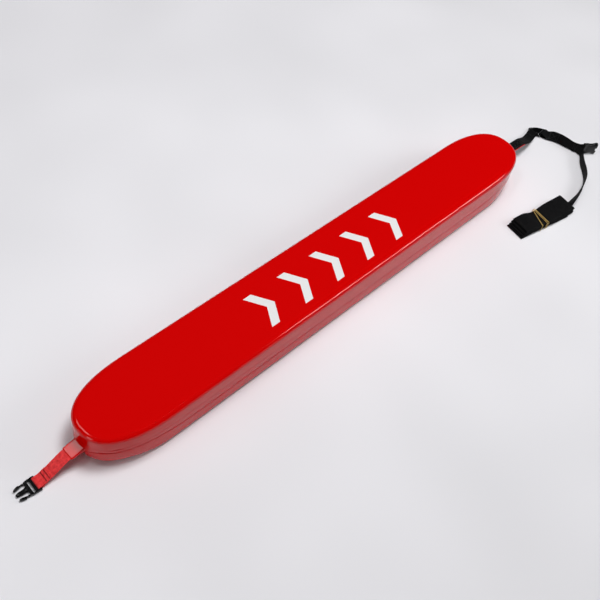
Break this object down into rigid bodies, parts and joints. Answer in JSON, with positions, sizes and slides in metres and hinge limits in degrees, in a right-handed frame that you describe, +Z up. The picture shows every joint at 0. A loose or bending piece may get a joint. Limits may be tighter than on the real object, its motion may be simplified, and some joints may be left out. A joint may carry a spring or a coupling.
{
  "type": "rescue buoy",
  "caption": "Soft foam rescue tube with a clip buckle, a towline and a folded shoulder strap",
  "frame": {"origin": "centre of the tube's flat underside", "axes": "+X along the tube from the buckle plug's end to the towline's end, +Z up out of the tube's flat top, +Y across the tube"},
  "size_m": [1.6694, 0.308, 0.09],
  "materials": {
    "red_vinyl": "glossy dipped vinyl skin",
    "closed_cell_foam": "closed-cell foam, sealed inside the skin",
    "red_webbing": "woven webbing",
    "black_webbing": "woven webbing",
    "black_acetal": "moulded, satin",
    "tan_rubber": "natural rubber"
  },
  "bodies": {
    "tube": {"vinyl_skin": "red_vinyl", "upper_foam_layer": "closed_cell_foam", "lower_foam_layer": "closed_cell_foam", "core_webbing": "red_webbing", "anchor_strap": "black_webbing", "socket_strap": "black_webbing", "towline": "black_webbing", "shoulder_strap": "black_webbing", "elastic_band": "tan_rubber"},
    "tail": {"tail_webbing": "red_webbing"},
    "plug": {"buckle_plug": "black_acetal"},
    "prong_left": {"release_prong_left": "black_acetal"},
    "prong_right": {"release_prong_right": "black_acetal"},
    "ring": {"strap_ring": "black_acetal"},
    "socket": {"buckle_socket": "black_acetal"}
  },
  "joints": [
    {"name": "tail_bend", "type": "hinge", "parent": "tube", "child": "tail", "pos_m": [-0.6637, 0, 0.036], "axis": [0.0349, 0.9994, 0], "range_deg": [-65, 100]},
    {"name": "plug_pivot", "type": "hinge", "parent": "tail", "child": "plug", "pos_m": [-0.72576, 0.00217, 0.0043], "axis": [0.0349, 0.9994, 0], "range_deg": [-60, 60]},
    {"name": "prong_left_flex", "type": "hinge", "parent": "plug", "child": "prong_left", "pos_m": [-0.7466, 0.0157, 0.0043], "axis": [0, 0, 1], "range_deg": [0, 8], "stiffness_Nm_per_rad": 0.6},
    {"name": "prong_right_flex", "type": "hinge", "parent": "plug", "child": "prong_right", "pos_m": [-0.7475, -0.00988, 0.0043], "axis": [0, 0, -1], "range_deg": [0, 8], "stiffness_Nm_per_rad": 0.6},
    {"name": "ring_tilt", "type": "hinge", "parent": "tube", "child": "ring", "pos_m": [0.8245, 0.0156, 0.0048], "axis": [0, -1, 0], "range_deg": [0, 5]},
    {"name": "socket_pivot", "type": "hinge", "parent": "tube", "child": "socket", "pos_m": [0.8688, -0.1115, 0.0172], "axis": [0, 0, 1], "range_deg": [-50, 50]}
  ]
}
